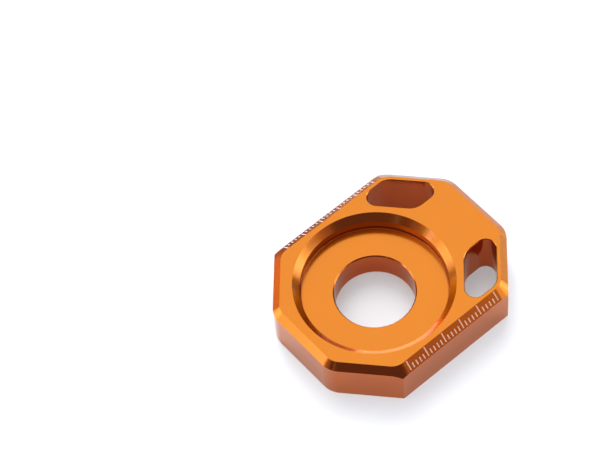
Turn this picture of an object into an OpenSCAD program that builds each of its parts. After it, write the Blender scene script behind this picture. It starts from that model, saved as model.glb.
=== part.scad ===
// Chain adjuster block for a motorcycle swingarm: one piece of machined and anodised aluminium.
// The wheel axle passes through the bore, its washer sits in the round recess, and the marks on
// both long edges show how far the wheel is drawn back. The origin lies on the axle's centre line,
// halfway up the block. +X runs along the chain towards the slotted end, and the recess opens to +Z.

/* [Block] */
// Length along the chain line
body_l = 51.4; // [49:0.1:60]
// Width between the two long sides that carry the scales
body_w = 41.9; // [41:0.1:50]
// Height from the base to the top face
body_h = 11.2; // [9:0.1:18]
// Distance from the axle's centre line to the plain end
plain_end_x = 21.1; // [20:0.1:24]
// Length that each corner cut takes off a long side
corner_cut_l = 10.6; // [8:0.1:12]
// Width that each corner cut takes off an end
corner_cut_w = 11.85; // [10:0.05:13]
// Rounding where an end meets its corner cuts
end_corner_r = 5.25; // [2:0.25:6]
// Break round the edge of the base
base_break = 0.3; // [0.1:0.05:0.8]

/* [Top edge] */
// Reach of the slope inwards from the ends and the corner cuts
edge_chamfer = 1.5; // [0.5:0.1:2.5]
// Reach of the slope inwards from the long sides, where the scales are
scale_chamfer = 2.0; // [1.8:0.1:3]
// Rounding of the top face's outline at its corners
top_corner_r = 3.75; // [1:0.25:5]

/* [Washer recess] */
// Diameter of the recess
recess_d = 32.4; // [28:0.1:33]
// Depth from the top face to the washer's seat
recess_depth = 4.0; // [3:0.1:6]
// Slope at the mouth of the recess
recess_chamfer = 1.5; // [0.5:0.1:2]
// Rounding at the foot of the recess wall
recess_foot_r = 0.3; // [0.1:0.05:0.6]

/* [Axle bore] */
// Diameter of the axle bore
bore_d = 17.7; // [15:0.1:20]
// Break at the rim in the washer's seat
bore_rim_break = 0.25; // [0.1:0.05:0.6]
// Break at the rim in the base
bore_base_break = 0.75; // [0.2:0.05:1.2]

/* [Slots] */
// Width of each slot, square to the corner cut beside it
slot_w = 7.0; // [5:0.1:7.2]
// Wall between a slot and the corner cut beside it
slot_cut_wall = 2.3; // [2:0.1:3]
// Wall between a slot's outer end and the long side
slot_side_wall = 2.85; // [2.6:0.05:5]
// Distance between the inner ends of the two slots
slot_gap = 15.5; // [12:0.1:18]
// Rounding in the slots' narrow corners
slot_tip_r = 2.3; // [1:0.1:2.5]
// Rounding in the slots' wide corners
slot_bend_r = 4.0; // [1:0.1:5]
// Break round the slots in the top face
slot_rim_break = 0.15; // [0.1:0.05:0.5]

/* [Scales] */
// Distance from one mark to the next
mark_pitch = 1.0; // [0.9:0.05:1]
// Number of marks on each side
mark_count = 26; // [6:5:26]
// Every mark of this number is a long one
long_mark_every = 5; // [2:1:10]
// Place of the first mark, along the chain line from the axle's centre line
first_mark_x = -7.95; // [-8.5:0.05:-7]
// Width of a mark
mark_w = 0.3; // [0.2:0.05:0.5]
// Length of a long mark, up the slope
long_mark_l = 2.3; // [1.6:0.1:2.4]
// Length of a short mark, up the slope
short_mark_l = 1.2; // [0.6:0.1:1.5]
// Plain strip below the marks
mark_foot = 0.35; // [0.1:0.05:0.4]
// Depth of the marks
mark_depth = 0.05; // [0.02:0.01:0.1]

/* [Hidden] */
$fn = 96;
// How far a cutting shape runs past the face that it cuts
over = 0.5;
// Length of the straight runs that trim a side, and how far they and the corner pieces reach out
run_l = 2 * body_l;
waste = 4;
// A rounding's radius is this much larger, so that it crosses the sides rather than touches them
blend = 0.002;
// Half of the block's width, and the distance from the axle's centre line to the slotted end
half_w = body_w / 2;
slotted_end_x = body_l - plain_end_x;
seat_z = body_h - recess_depth;
recess_r = recess_d / 2;
bore_r = bore_d / 2;
// Direction of the corner cuts' faces, and their distances from the axle's centre line
cut_angle = atan2(corner_cut_l, corner_cut_w);
cut_corner_y = half_w - corner_cut_w;
slotted_cut_dist = slotted_end_x * cos(cut_angle) + cut_corner_y * sin(cut_angle);
plain_cut_dist = plain_end_x * cos(cut_angle) + cut_corner_y * sin(cut_angle);
// Every side as its outward direction and its distance from the axle's centre line, once around
block_sides = [
    [0, slotted_end_x],
    [cut_angle, slotted_cut_dist],
    [90, half_w],
    [180 - cut_angle, plain_cut_dist],
    [180, plain_end_x],
    [180 + cut_angle, plain_cut_dist],
    [270, half_w],
    [360 - cut_angle, slotted_cut_dist],
];
// Rounding at the corner after each side: only the ends' corners are round
block_radii = [end_corner_r, 0, 0, end_corner_r, end_corner_r, 0, 0, end_corner_r];
// The top face's outline lies inside the block's by the reach of the slope on each side
top_sides = [
    for (side = block_sides)
        inset(side, side[0] % 180 == 90 ? scale_chamfer : edge_chamfer)
];
top_radii = [for (side = top_sides) top_corner_r];
// One slot, on the +Y side: corner cut, long side, then the two faces opposite
slot_out_dist = slotted_cut_dist - slot_cut_wall;
slot_sides = [
    [cut_angle, slot_out_dist],
    [90, half_w - slot_side_wall],
    [cut_angle + 180, slot_w - slot_out_dist],
    [270, -slot_gap / 2],
];
slot_radii = [slot_bend_r, slot_tip_r, slot_bend_r, slot_tip_r];
// The slot's sides moved outwards past its break
rim_sides = [for (side = slot_sides) inset(side, -slot_rim_break - 2 * over)];

// A side moved inwards
function inset(side, by) = [side[0], side[1] - by];

// Meeting point of the lines of two sides
function meet(a, b) =
    let (turn = sin(b[0] - a[0]))
    [a[1] * sin(b[0]) - b[1] * sin(a[0]), b[1] * cos(a[0]) - a[1] * cos(b[0])] / turn;

// Centre of the rounding between side i and the next
function corner_centre(sides, radii, i) =
    meet(inset(sides[i], radii[i]), inset(sides[(i + 1) % len(sides)], radii[i]));

// Angle that the outline turns through after side i
function turn_after(sides, i) =
    let (turn = sides[(i + 1) % len(sides)][0] - sides[i][0])
    turn > 0 ? turn : turn + 360;

// Prism from one height to another whose outline has the given sides, with sharp corners
module sharp_prism(sides, from, to) {
    translate([0, 0, from])
        linear_extrude(to - from)
            polygon([for (i = [0 : len(sides) - 1]) corner_centre(sides, [for (side = sides) 0], i)]);
}

// Carries a section round the corners of an outline that have a rounding. The section's x runs
// outwards from the outline and its y runs up.
module carry_round_corners(sides, radii) {
    for (i = [0 : len(sides) - 1])
        if (radii[i] > 0)
            translate(corner_centre(sides, radii, i))
                rotate(sides[i][0])
                    rotate_extrude(angle = turn_after(sides, i))
                        translate([radii[i] + blend, 0])
                            children();
}

// Carries the same section along every side too, straight past the corners
module carry_round(sides, radii) {
    for (side = sides)
        rotate(side[0])
            translate([side[1], 0, 0])
                rotate([90, 0, 0])
                    linear_extrude(run_l, center = true)
                        children();
    carry_round_corners(sides, radii)
        children();
}

// The outline's body with upright walls and round corners
module rounded_prism(sides, radii, from, to) {
    difference() {
        sharp_prism(sides, from, to);
        carry_round_corners(sides, radii)
            translate([0, from - over])
                square([waste, to - from + 2 * over]);
    }
}

// The slope round the top face, cut away outside it
module top_slope() {
    carry_round(top_sides, top_radii)
        polygon([[-over, body_h + over], [waste, body_h + over], [waste, body_h - waste]]);
}

// The small break round the base
module base_edge() {
    carry_round(block_sides, block_radii)
        polygon([[-base_break - over, -over], [over, -over], [over, base_break + over]]);
}

// The washer recess with its sloping mouth and the rounding at its foot
module washer_recess() {
    rotate_extrude() {
        translate([0, seat_z + recess_foot_r])
            square([recess_r, recess_depth - recess_foot_r + over]);
        translate([0, seat_z])
            square([recess_r - recess_foot_r, recess_foot_r + over]);
        translate([recess_r - recess_foot_r, seat_z + recess_foot_r])
            circle(recess_foot_r);
        polygon([
            [0, body_h - recess_chamfer],
            [recess_r, body_h - recess_chamfer],
            [recess_r + recess_chamfer + over, body_h + over],
            [0, body_h + over],
        ]);
    }
}

// The axle bore with a break at each rim
module axle_bore() {
    rotate_extrude()
        polygon([
            [0, -over],
            [bore_r + bore_base_break + over, -over],
            [bore_r, bore_base_break],
            [bore_r, seat_z - bore_rim_break],
            [bore_r + bore_rim_break + over, seat_z + over],
            [0, seat_z + over],
        ]);
}

// One slot, right through, with a break round its rim in the top face
module slot() {
    rounded_prism(slot_sides, slot_radii, -over, body_h + over);
    difference() {
        sharp_prism(rim_sides, body_h - over, body_h + over);
        carry_round(slot_sides, slot_radii)
            polygon([
                [slot_rim_break - 2 * over, body_h - 2 * over],
                [waste, body_h - 2 * over],
                [waste, body_h + 2 * over],
                [slot_rim_break + 2 * over, body_h + 2 * over],
            ]);
    }
}

// The marks of one scale, on the slope of the -Y side
module scale_marks() {
    slope_l = scale_chamfer * sqrt(2);
    for (i = [0 : mark_count - 1]) {
        mark_l = i % long_mark_every == 0 ? long_mark_l : short_mark_l;
        translate([first_mark_x + i * mark_pitch, scale_chamfer - half_w, body_h])
            rotate([45, 0, 0])
                translate([-mark_w / 2, mark_foot - slope_l, -mark_depth])
                    cube([mark_w, mark_l, mark_depth + over]);
    }
}

// The whole block
module adjuster_block() {
    color("darkorange")
        translate([0, 0, -body_h / 2])
            difference() {
                rounded_prism(block_sides, block_radii, 0, body_h);
                top_slope();
                base_edge();
                washer_recess();
                axle_bore();
                slot();
                mirror([0, 1, 0]) slot();
                scale_marks();
                mirror([0, 1, 0]) scale_marks();
            }
}

adjuster_block();
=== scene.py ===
# %% [markdown]
# # An anodised chain adjuster on a white sheet
#
# The block on the real motorcycle is milled and turned from aluminium, anodised orange, and its
# scales are filled with a pale paint. The packed model gives the shape. This script adds the skin,
# the fill in the marks, the sheet, the light and the camera, and leaves the shape as it is.
# Lengths are in metres. The origin lies on the axle's centre line, halfway up the block.

import math

import bpy
import numpy as np
from mathutils import Matrix, Vector


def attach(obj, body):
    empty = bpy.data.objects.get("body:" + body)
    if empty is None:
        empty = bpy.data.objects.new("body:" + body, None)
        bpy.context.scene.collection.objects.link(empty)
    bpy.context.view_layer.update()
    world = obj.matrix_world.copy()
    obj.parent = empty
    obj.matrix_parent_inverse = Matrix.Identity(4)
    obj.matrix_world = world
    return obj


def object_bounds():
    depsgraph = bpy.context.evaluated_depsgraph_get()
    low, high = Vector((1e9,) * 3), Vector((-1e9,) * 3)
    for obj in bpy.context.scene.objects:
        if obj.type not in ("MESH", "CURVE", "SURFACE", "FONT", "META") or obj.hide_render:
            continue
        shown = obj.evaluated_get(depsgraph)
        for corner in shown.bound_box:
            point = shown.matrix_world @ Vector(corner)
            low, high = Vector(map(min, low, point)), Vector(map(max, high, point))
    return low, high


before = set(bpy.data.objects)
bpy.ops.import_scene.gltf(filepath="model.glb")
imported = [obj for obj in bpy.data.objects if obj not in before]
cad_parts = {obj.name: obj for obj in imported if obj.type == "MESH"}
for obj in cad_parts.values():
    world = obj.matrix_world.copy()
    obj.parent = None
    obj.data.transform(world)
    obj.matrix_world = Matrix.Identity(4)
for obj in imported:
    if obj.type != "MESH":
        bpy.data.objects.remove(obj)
cad_box = [list(corner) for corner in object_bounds()]
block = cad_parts["adjuster_block"]
MM = 0.001
floor_z = cad_box[0][2]
top_z = cad_box[1][2]
print("block from", cad_box[0], "to", cad_box[1])


# %% [markdown]
# ## Shader sums as plain sums
#
# A material is a tree of nodes. It could be wired by hand, node by node, which hides what it
# computes. Here one small class wraps a socket, so that each pattern reads as arithmetic. Its
# method `node` makes every node that isn't a plain sum.

# %% Node helper
class Value:
    """A number or a vector inside a node tree. Sums and products of values make Math nodes."""

    def __init__(self, tree, socket=None):
        self.tree, self.socket = tree, socket

    def node(self, kind, settings, sockets):
        """Adds a node of the type, sets its properties, and links or sets its inputs."""
        made = self.tree.nodes.new(kind)
        for name, setting in settings.items():
            setattr(made, name, setting)
        for name, given in sockets.items():
            if isinstance(given, Value):
                self.tree.links.new(given.socket, made.inputs[name])
            else:
                made.inputs[name].default_value = given
        return made

    def result(self, kind, settings, sockets, output=0):
        """Adds a node in the same way and gives the value of one of its outputs."""
        return Value(self.tree, self.node(kind, settings, sockets).outputs[output])

    def math(self, operation, *operands):
        """One Math node over the operands."""
        return self.result("ShaderNodeMath", {"operation": operation}, dict(enumerate(operands)))

    def __add__(self, other):
        return self.math("ADD", self, other)

    __radd__ = __add__

    def __mul__(self, other):
        return self.math("MULTIPLY", self, other)

    __rmul__ = __mul__

    def __sub__(self, other):
        return self.math("SUBTRACT", self, other)

    def __rsub__(self, other):
        return self.math("SUBTRACT", other, self)

    def __abs__(self):
        return self.math("ABSOLUTE", self)

    def ramp(self, low, high, start=0.0, end=1.0):
        """Start below low, end above high, and smooth between."""
        sockets = {"Value": self, "From Min": low, "From Max": high, "To Min": start, "To Max": end}
        return self.result("ShaderNodeMapRange", {"interpolation_type": "SMOOTHSTEP"}, sockets)

    def above(self, edge, softness):
        """0 up to the edge and 1 past it, after a soft step."""
        return self.ramp(edge, edge + softness)

    def below(self, edge, softness):
        """1 up to the edge and 0 past it, after a soft step."""
        return self.ramp(edge, edge + softness, 1.0, 0.0)

    def parts(self):
        """The three parts of a vector."""
        made = self.node("ShaderNodeSeparateXYZ", {}, {0: self})
        return [Value(self.tree, out) for out in made.outputs]

    def length(self):
        """The length of a vector."""
        return self.result("ShaderNodeVectorMath", {"operation": "LENGTH"}, {0: self}, "Value")

    def scaled(self, factors):
        """A vector times a fixed vector, part by part."""
        return self.result("ShaderNodeVectorMath", {"operation": "MULTIPLY"}, {0: self, 1: factors})

    def joined(self, *parts):
        """A vector of up to three parts."""
        return self.result("ShaderNodeCombineXYZ", {}, dict(enumerate(parts)))

    def noise(self, scale, detail=2.0):
        """Cloudy noise from 0 to 1 at this place."""
        sockets = {"Vector": self, "Scale": scale, "Detail": detail}
        return self.result("ShaderNodeTexNoise", {}, sockets, "Fac")

    def mixed(self, first, second):
        """The first number where the value is 0 and the second where it is 1."""
        return self * (second - first) + first

    def between(self, first, second):
        """The first colour where the value is 0 and the second where it is 1."""
        sockets = {0: self, 6: first, 7: second}
        return self.result("ShaderNodeMix", {"data_type": "RGBA"}, sockets, 2)


def place_in(tree, kind):
    """Where each point lies or faces, in the kind of coordinates that is named."""
    return Value(tree).result("ShaderNodeTexCoord", {}, {}, kind)


def new_material(name):
    """A new material: returns it, its surface shader and the place on the object."""
    material = bpy.data.materials.new(name)
    material.use_nodes = True
    tree = material.node_tree
    return material, tree.nodes["Principled BSDF"], place_in(tree, "Object")


def feed(node, name, value):
    """Links a value to one of the node's sockets."""
    value.tree.links.new(value.socket, node.inputs[name])


methods = [name for name in vars(Value) if callable(getattr(Value, name))]
print("node helper with", len(methods), "methods")

# %% [markdown]
# ## The camera
#
# The view could be set by eye. Here the place and the lens were solved from the block's own edges
# and from the marks, which are 1 mm apart, so that every edge falls where it should.

# %% Camera
AZIMUTH, ELEVATION, ROLL = map(math.radians, (-35.155, 57.661, -6.522))
AIM_RIGHT, AIM_UP, DISTANCE = 16.579 * MM, -16.884 * MM, 536.971 * MM
FOCAL_PIXELS, PHOTO_WIDTH, SENSOR_WIDTH = 2459.108, 600, 36
FIT_ORIGIN_Z = 0.3 * MM - (top_z - floor_z) / 2

back = Vector(
    (
        math.sin(AZIMUTH) * math.cos(ELEVATION),
        -math.cos(AZIMUTH) * math.cos(ELEVATION),
        math.sin(ELEVATION),
    )
)
level = Vector((math.cos(AZIMUTH), math.sin(AZIMUTH), 0))
upright = back.cross(level)
right = math.cos(ROLL) * level + math.sin(ROLL) * upright
up = -math.sin(ROLL) * level + math.cos(ROLL) * upright
aim = Vector((0, 0, FIT_ORIGIN_Z)) - AIM_RIGHT * right - AIM_UP * up

camera = bpy.data.objects.new("camera", bpy.data.cameras.new("camera"))
bpy.context.scene.collection.objects.link(camera)
camera.matrix_world = Matrix((right, up, back)).transposed().to_4x4()
camera.location = aim + DISTANCE * back
camera.data.sensor_width = SENSOR_WIDTH
camera.data.lens = FOCAL_PIXELS * SENSOR_WIDTH / PHOTO_WIDTH
camera.data.clip_start, camera.data.clip_end = 0.01, 20
bpy.context.scene.camera = camera
print("camera at", [round(part, 4) for part in camera.location], "lens", round(camera.data.lens, 1))

# %% [markdown]
# ## Where each finish and each painted shade lies
#
# The whole block is one mesh with one skin. The upright walls and the holes are painted a darker,
# redder orange than the faces that look up, as painted shade, and a ring at the foot of the recess
# is painted darker too. The mesh could be cut up, with a material for each part. Instead masks are
# worked out from the place and from the direction that the face looks in: 1 where a finish or a
# painted shade lies and 0 elsewhere.

# %% Masks
RECESS_REACH, BORE_REACH = 17.7 * MM, 9.7 * MM
RECESS_RING, RECESS_FOOT = 12 * MM, 15.7 * MM
FOOT_HEIGHT = 2.2 * MM
CUT_ANGLE = math.radians(41.81)
SLOT_NEAR, SLOT_FAR = 18.8 * MM, 26.8 * MM
SLOT_SIDE, SLOT_END = 19 * MM, 28.5 * MM
SOFT = 0.1 * MM

anodised, skin, place = new_material("anodised_orange")
lean = place_in(anodised.node_tree, "Normal").parts()[2]
upright_wall = (lean * lean).below(0.15, 0.25)
flat = lean.above(0.90, 0.07)

along, across, height_up = place.parts()
off_middle = abs(across)
from_axle = place.scaled((1, 1, 0)).length()
in_recess = from_axle.below(RECESS_REACH, SOFT / 2)
recess_wall = in_recess * from_axle.above(RECESS_RING, 1 * MM)
near_wall = in_recess * from_axle.above(RECESS_RING, 4 * MM)
at_foot = from_axle.above(RECESS_FOOT, 2 * SOFT) * height_up.below(FOOT_HEIGHT, 3 * SOFT)
# painted shade: a ring at the foot of the recess, where the wall meets the floor, is marked for a
# darker colour
painted_foot_shade = recess_wall * at_foot

to_cut = along * math.cos(CUT_ANGLE) + off_middle * math.sin(CUT_ANGLE)
in_slot = to_cut.above(SLOT_NEAR, SOFT) * to_cut.below(SLOT_FAR, SOFT)
in_slot = in_slot * (off_middle.below(SLOT_SIDE, SOFT) * along.below(SLOT_END, SOFT))
hole_wall = upright_wall * (from_axle.below(BORE_REACH, SOFT) + in_slot)
outer_wall = upright_wall * (1 - recess_wall)
print("masks made with", len(anodised.node_tree.nodes), "nodes")

# %% [markdown]
# ## Tool marks
#
# The cutter leaves fine lines: rings in the recess, which is turned, and long lines along the
# milled sides. They could be cut into the mesh, at a great cost for so little depth. A bump of a
# few thousandths of a millimetre bends the reflections in the same way. The rings are noise over
# the distance from the axle, and the long lines are noise stretched along the sides.

# %% Grain and grooves
FACE_SCALE, LINE_SCALE, CLOUD_SCALE = 6000, 7000, 120
GRAIN_DETAIL, STRETCH = 3.0, 0.03
MICROMETRE = 1e-6
SIDE_DEPTH, SLOPE_DEPTH, SEAT_DEPTH = 0.8 * MICROMETRE, 10 * MICROMETRE, 3 * MICROMETRE

fine_grain = place.noise(FACE_SCALE, GRAIN_DETAIL)
rings = place.joined(from_axle, height_up).noise(LINE_SCALE, GRAIN_DETAIL)
milled = place.scaled((STRETCH, STRETCH, 1)).noise(LINE_SCALE, GRAIN_DETAIL)
grain = in_recess.mixed(upright_wall.mixed(fine_grain, milled), rings)
groove_depth = in_recess.mixed(SIDE_DEPTH, flat.mixed(SLOPE_DEPTH, SEAT_DEPTH))
cloud = place.noise(CLOUD_SCALE)
bump_sockets = {"Strength": 1.0, "Distance": 1.0, "Height": grain * groove_depth}
feed(skin, "Normal", place.result("ShaderNodeBump", {}, bump_sockets, "Normal"))
print("grooves up to", round(SLOPE_DEPTH / MM, 3), "mm deep")

# %% [markdown]
# ## The anodised skin
#
# On the real block a dyed oxide layer lies over the metal. Orange paint would look flat, because
# it scatters light. Here the metal's own reflection is orange, and a clear coat adds the neutral
# gloss of the hard oxide. The edge tint keeps the metal orange where it is seen at a slant. Each
# colour has a pale and a deep tone, which a slow cloud mixes, so that no face is one flat colour.
# The walls, the holes and the foot of the recess get darker copies of the orange and a weaker coat,
# as painted shade.

# %% Anodised aluminium
FACE_PALE, FACE_DEEP = (0.74, 0.222, 0.003, 1), (0.70, 0.205, 0.003, 1)
# painted shade: darker, redder copies of the orange for the upright walls and the holes
SHADED_WALL_PALE, SHADED_WALL_DEEP = (0.51, 0.098, 0.003, 1), (0.47, 0.087, 0.003, 1)
SHADED_HOLE_PALE, SHADED_HOLE_DEEP = (0.54, 0.080, 0.002, 1), (0.51, 0.070, 0.002, 1)
# painted shade: a darker orange for the foot of the recess
FOOT_SHADE_COLOUR = (0.52, 0.12, 0.003, 1)
EDGE_TINT = (0.80, 0.68, 0.56, 1)
SMOOTHEST, GRAIN_ROUGH, CLOUD_ROUGH, TURNED_ROUGH = 0.12, 0.06, 0.04, 0.06
LESS_IN_HOLES, LESS_ON_WALLS, LESS_IN_FOOT_SHADE = 0.5, 0.25, 0.2
COAT_ROUGH, COAT_IOR = 0.1, 1.4

face_dye = cloud.between(FACE_DEEP, FACE_PALE)
# painted shade: the walls and the holes take the darker, redder copies of the orange
shaded_wall_dye = cloud.between(SHADED_WALL_DEEP, SHADED_WALL_PALE)
shaded_hole_dye = cloud.between(SHADED_HOLE_DEEP, SHADED_HOLE_PALE)
dye_and_shade = painted_foot_shade.between(outer_wall.between(face_dye, shaded_wall_dye), FOOT_SHADE_COLOUR)
dye_and_shade = hole_wall.between(dye_and_shade, shaded_hole_dye)
roughness = SMOOTHEST + GRAIN_ROUGH * grain + CLOUD_ROUGH * cloud + TURNED_ROUGH * near_wall
# a weaker coat on the walls and in the holes dims their gloss, along with the painted shade
coat = 1 - LESS_IN_HOLES * hole_wall - LESS_ON_WALLS * outer_wall * (1 - hole_wall)
# painted shade: a weaker coat at the foot of the recess
coat = coat - LESS_IN_FOOT_SHADE * painted_foot_shade
for socket_name, value in (("Base Color", dye_and_shade), ("Roughness", roughness), ("Coat Weight", coat)):
    feed(skin, socket_name, value)
skin.inputs["Metallic"].default_value = 1
skin.inputs["Specular Tint"].default_value = EDGE_TINT
skin.inputs["Coat Roughness"].default_value = COAT_ROUGH
skin.inputs["Coat IOR"].default_value = COAT_IOR
for i in range(len(block.material_slots)):
    block.material_slots[i].material = anodised
print("skin on", len(block.data.polygons), "faces, nodes", len(anodised.node_tree.nodes))

# %% [markdown]
# ## The fill in the scale marks
#
# The engraved marks on the real block are filled with a pale paint. The fill could be a colour on
# the groove's own faces, which has no crisp edge. Here each mark has a thin strip that lies in its
# groove, a little below the slope's face. The fill is painted browner on the near side, as painted
# shade, and paler on the far side, as painted light.

# %% Mark strips
HALF_WIDTH = cad_box[1][1]
SLOPE = 2.0 * MM
MARK_COUNT, LONG_EVERY, MARK_PITCH, FIRST_MARK = 26, 5, 1.0 * MM, -7.95 * MM
MARK_WIDTH, MARK_FOOT, MARK_SINK = 0.3 * MM, 0.35 * MM, 0.02 * MM
LONG_MARK, SHORT_MARK = 2.3 * MM, 1.2 * MM


def mark_strips(name, side):
    """A strip for every mark of one long side, as one mesh.

    Corner k of strip i lies at x = first + i * pitch -+ half the width, and its distance s up the
    slope is the foot or the foot plus the mark's length. The slope rises at 45 degrees, so s adds
    s / sqrt(2) to the height and takes as much from the distance to the middle.
    """
    i = np.arange(MARK_COUNT)
    mark_length = np.where(i % LONG_EVERY == 0, LONG_MARK, SHORT_MARK)
    x = FIRST_MARK + i * MARK_PITCH
    xs = x[:, None] + np.array([-1, 1, 1, -1]) * MARK_WIDTH / 2
    up_slope = MARK_FOOT + mark_length[:, None] * np.array([0, 0, 1, 1])
    sink = MARK_SINK / math.sqrt(2)
    ys = side * (HALF_WIDTH - up_slope / math.sqrt(2) - sink)
    zs = top_z - SLOPE + up_slope / math.sqrt(2) - sink
    points = np.stack([xs, ys, zs], -1).reshape(-1, 3)
    faces = np.arange(MARK_COUNT * 4).reshape(-1, 4)
    if side > 0:
        faces = faces[:, ::-1]
    mesh = bpy.data.meshes.new(name)
    mesh.from_pydata(points.tolist(), [], faces.tolist())
    strips = bpy.data.objects.new(name, mesh)
    bpy.context.scene.collection.objects.link(strips)
    return strips


print("marks on each side", MARK_COUNT, "and long ones", len(range(0, MARK_COUNT, LONG_EVERY)))

# %% Mark fill
# painted light and shade: a paler fill for the far side and a browner one for the near side
LIT_FAR_DEEP, LIT_FAR_PALE = (0.65, 0.55, 0.48, 1), (0.75, 0.64, 0.57, 1)
SHADED_NEAR_DEEP, SHADED_NEAR_PALE = (0.45, 0.24, 0.155, 1), (0.56, 0.32, 0.22, 1)
SPECK_SCALE = 5000
FILL_SMOOTHEST, SPECK_ROUGH = 0.45, 0.15

fill, fill_shader, fill_place = new_material("mark_fill")
speck = fill_place.noise(SPECK_SCALE)
# painted light and shade: the fill turns from browner on the near side to paler on the far side
far_side = fill_place.parts()[1].ramp(-1 * MM, 1 * MM)
shaded_near_fill = speck.between(SHADED_NEAR_DEEP, SHADED_NEAR_PALE)
lit_far_fill = speck.between(LIT_FAR_DEEP, LIT_FAR_PALE)
feed(fill_shader, "Base Color", far_side.between(shaded_near_fill, lit_far_fill))
feed(fill_shader, "Roughness", FILL_SMOOTHEST + SPECK_ROUGH * speck)
for name, side in (("scale_marks_left", 1), ("scale_marks_right", -1)):
    strips = mark_strips(name, side)
    strips.data.materials.append(fill)
    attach(strips, "root")
    print(name, len(strips.data.polygons), "marks")

# %% [markdown]
# ## The sheet
#
# The block lies on a white sheet. A sheet as white as the background would lose the shadow, and
# more light would spoil the colours. So the sheet is plain white paper that keeps the shadow, and
# a share of it glows to full white, where the camera, the metal or glass looks at it.


# %% Sheets and cards
PAPER_ROUGH = 0.9


def flat_sheet(name, corners, material):
    """A sheet or card with the four corners, taken once round."""
    sheet = bpy.data.objects.new(name, bpy.data.meshes.new(name))
    sheet.data.from_pydata(corners, [], [(0, 1, 2, 3)])
    sheet.data.materials.append(material)
    bpy.context.scene.collection.objects.link(sheet)
    print(name, "from", corners[0], "to", corners[2])
    return sheet


def level_corners(left_x, right_x, near_y, far_y, z):
    """The four corners of a level sheet, once round from the near left."""
    return [(left_x, near_y, z), (right_x, near_y, z), (right_x, far_y, z), (left_x, far_y, z)]


# %% Floor
REACH = 3.0
GLOW_SHARE = 0.3
FLECK_SCALE = 30
PAPER_DEEP, PAPER_PALE = (0.947, 0.965, 0.968, 1), (0.957, 0.975, 0.978, 1)

paper, paper_shader, paper_place = new_material("white_table")
paper_colour = paper_place.noise(FLECK_SCALE).between(PAPER_DEEP, PAPER_PALE)
feed(paper_shader, "Base Color", paper_colour)
paper_shader.inputs["Roughness"].default_value = PAPER_ROUGH
paper_shader.inputs["Specular IOR Level"].default_value = 0.0
ray = paper_place.node("ShaderNodeLightPath", {}, {})
camera_ray, glossy_ray, through_ray = (
    Value(paper.node_tree, ray.outputs[kind + " Ray"])
    for kind in ("Is Camera", "Is Glossy", "Is Transmission")
)
share = GLOW_SHARE * (camera_ray + glossy_ray + through_ray)
glowing = paper_place.result("ShaderNodeEmission", {}, {"Strength": 1.0})
plain = Value(paper.node_tree, paper_shader.outputs[0])
seen = paper_place.result("ShaderNodeMixShader", {}, {0: share, 1: plain, 2: glowing})
feed(paper.node_tree.nodes["Material Output"], "Surface", seen)
floor = flat_sheet("floor", level_corners(-REACH, REACH, -REACH, REACH, floor_z), paper)

# %% [markdown]
# ## Two coloured cards
#
# Only the metal sees these cards, so what they show in it is painted reflection. Without them the
# far slopes mirror the white sheet, so that their marks are lost, and those at the right end are
# too bright. One card stands beside the far side, in the place of a second orange block: it is
# painted dark at the foot, as painted shade, and fades on the right to a pale grey that stands for
# the sheet in that block's shadow. The other lies on the sheet, to the right: it is darker than the
# sheet and stands for painted shade on it.

# %% Standing card
CARD_LEFT, CARD_RIGHT, CARD_Y = -32 * MM, 32 * MM, 34.5 * MM
# painted shade: a dark colour for the card's foot, and a pale grey for the sheet in shadow at its
# right
CARD_FOOT_SHADE, CARD_TOP = (0.35, 0.155, 0.09, 1), (0.66, 0.34, 0.19, 1)
CARD_SHADOWED_SHEET = (0.72, 0.62, 0.57, 1)


def show_to_metal_only(card):
    """Hides the card from all but the reflections in the metal."""
    card.visible_camera = card.visible_shadow = card.visible_diffuse = False


orange_paper, orange_shader, card_place = new_material("orange_card")
card_along, _, card_up = card_place.parts()
# painted shade: the card darkens towards its foot
left_colour = card_up.ramp(-3 * MM, 3 * MM).between(CARD_FOOT_SHADE, CARD_TOP)
# painted shade: towards the right the card turns to a pale grey that stands for the sheet in shadow
card_colour = card_along.ramp(-8 * MM, 20 * MM).between(left_colour, CARD_SHADOWED_SHEET)
feed(orange_shader, "Base Color", card_colour)
orange_shader.inputs["Roughness"].default_value = PAPER_ROUGH
card_corners = [
    (CARD_LEFT, CARD_Y, floor_z),
    (CARD_RIGHT, CARD_Y, floor_z),
    (CARD_RIGHT, CARD_Y, top_z),
    (CARD_LEFT, CARD_Y, top_z),
]
card = flat_sheet("neighbour_and_shade_card", card_corners, orange_paper)
show_to_metal_only(card)

# %% Lying card
LYING_LEFT, LYING_RIGHT, LYING_NEAR, LYING_FAR = 28 * MM, 140 * MM, -40 * MM, 60 * MM
LYING_Z = floor_z + 0.1 * MM
# painted shade: this card is darker than the sheet, bluish on the left and deeper past 54 mm, and
# the metal mirrors it in place of the sheet
SHADOW_CARD_PALE, SHADOW_CARD_DEEP = (0.68, 0.83, 0.96, 1), (0.64, 0.60, 0.73, 1)

lilac_paper, lilac_shader, lying_place = new_material("painted_shadow_paper")
lying_colour = lying_place.parts()[0].ramp(44 * MM, 54 * MM).between(SHADOW_CARD_PALE, SHADOW_CARD_DEEP)
feed(lilac_shader, "Base Color", lying_colour)
lilac_shader.inputs["Roughness"].default_value = PAPER_ROUGH
lying_corners = level_corners(LYING_LEFT, LYING_RIGHT, LYING_NEAR, LYING_FAR, LYING_Z)
# painted shade: a darker sheet lying on the white one, seen only in the metal
painted_shadow_card = flat_sheet("painted_shadow_card", lying_corners, lilac_paper)
show_to_metal_only(painted_shadow_card)

# %% [markdown]
# ## The lights
#
# Polished metal shows its lights as shapes, so large soft boxes are placed where each slope looks.
# One stands high behind the block for the top face. Low ones stand behind and on both sides for
# the slopes of the recess and the edges. Three more light the sheet and the fill alone, because
# the metal doesn't mirror them.

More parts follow.
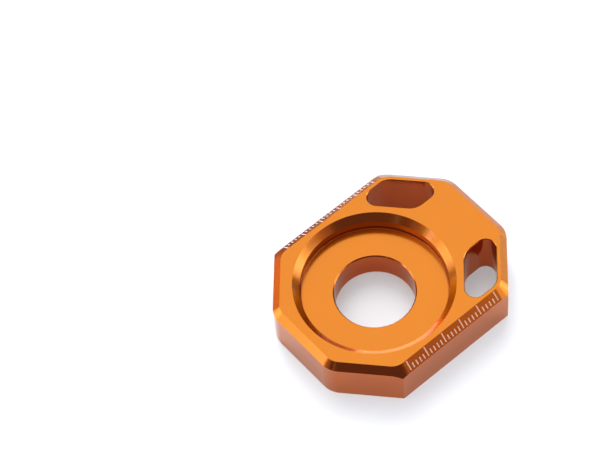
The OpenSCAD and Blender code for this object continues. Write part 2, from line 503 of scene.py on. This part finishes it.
# %% Soft boxes
WHITE, WARM = (1, 1, 1), (1.0, 0.6, 0.6)
COOL, PALE_BLUE = (0.92, 1.0, 1.03), (0.97, 1.0, 1.45)


def soft_box(name, azimuth, elevation, distance, width, height, radiance, colour=WHITE):
    """A rectangular light that faces the block from the azimuth, counted from +X towards +Y, and
    the elevation. Its power is radiance * pi * area, so that its face has that brightness."""
    data = bpy.data.lights.new(name, "AREA")
    data.shape = "RECTANGLE"
    data.size, data.size_y = width, height
    data.energy = radiance * math.pi * width * height
    data.color = colour
    light = bpy.data.objects.new(name, data)
    bpy.context.scene.collection.objects.link(light)
    a, e = math.radians(azimuth), math.radians(elevation)
    outward = Vector((math.cos(a) * math.cos(e), math.sin(a) * math.cos(e), math.sin(e)))
    light.location = outward * distance
    light.rotation_mode = "QUATERNION"
    light.rotation_quaternion = outward.to_track_quat("Z", "Y")
    print(name, "power", round(data.energy, 2))
    return light


# %% Boxes that the metal mirrors
soft_box("top_light", 55, 60, 1.2, 1.15, 1.0, 0.88)
soft_box("left_high", 145, 60, 1.2, 0.8, 0.8, 0.5)
soft_box("back_strip", 62, 26, 1.25, 0.66, 0.3, 5.5, PALE_BLUE)
soft_box("back_low_right", 16, 10, 1.3, 0.98, 0.55, 1.3)
soft_box("back_right", 40, 24, 1.3, 0.36, 0.4, 0.9)
soft_box("back_low_left", 93, 17, 1.3, 0.8, 0.6, 2.8)
soft_box("left_light", 141, 13, 1.2, 1.02, 0.56, 1.2)
soft_box("left_core", 135, 11, 1.15, 0.4, 0.3, 0.85)
soft_box("left_glint", 158, 21, 1.2, 0.12, 0.2, 1.2, PALE_BLUE)
soft_box("left_edge", 172, 24, 1.2, 0.4, 0.4, 0.25, WARM)
soft_box("right_light", -41, 13, 1.2, 1.0, 0.5, 1.0)
soft_box("right_core", -30, 13, 1.15, 0.28, 0.25, 0.8, PALE_BLUE)
soft_box("right_middle", -31, 13, 1.17, 0.62, 0.38, 0.75)
soft_box("right_edge", -70, 24, 1.2, 0.4, 0.5, 0.33, WARM)
soft_box("slit_light", 199.5, 29.5, 1.2, 0.06, 0.35, 0.35)

# %% Boxes for the sheet and the fill
for light in (
    soft_box("key_light", 58, 52, 1.3, 0.9, 0.9, 3.9, COOL),
    soft_box("overhead_light", 55, 86, 1.3, 0.6, 0.6, 1.2, COOL),
    soft_box("front_light", 240, 18, 1.3, 1.8, 0.45, 8.3, COOL),
):
    light.visible_glossy = False

# %% [markdown]
# ## The room
#
# Between the boxes the metal mirrors the room: dim walls, a paler ceiling and a pale line just
# above the table. One colour all round would leave the darkest slopes flat, so it varies with
# the height.

# %% Room
ROOM_WALLS, ROOM_CEILING = (0.125, 0.068, 0.15, 1), (0.40, 0.40, 0.40, 1)
ROOM_HORIZON = (0.50, 0.50, 0.50, 1)

world = bpy.data.worlds.new("room")
world.use_nodes = True
height_seen = place_in(world.node_tree, "Generated").parts()[2]
walls_and_ceiling = height_seen.above(0.55, 0.45).between(ROOM_WALLS, ROOM_CEILING)
room_colour = height_seen.below(0.02, 0.08).between(walls_and_ceiling, ROOM_HORIZON)
feed(world.node_tree.nodes["Background"], "Color", room_colour)
bpy.context.scene.world = world
bpy.context.scene.view_settings.view_transform = "Standard"
print("room colours from", len(world.node_tree.nodes), "nodes")

# %% [markdown]
# ## Sizes, and the end
#
# The box round the block is written as it came and as it is now, so that the two can be compared.
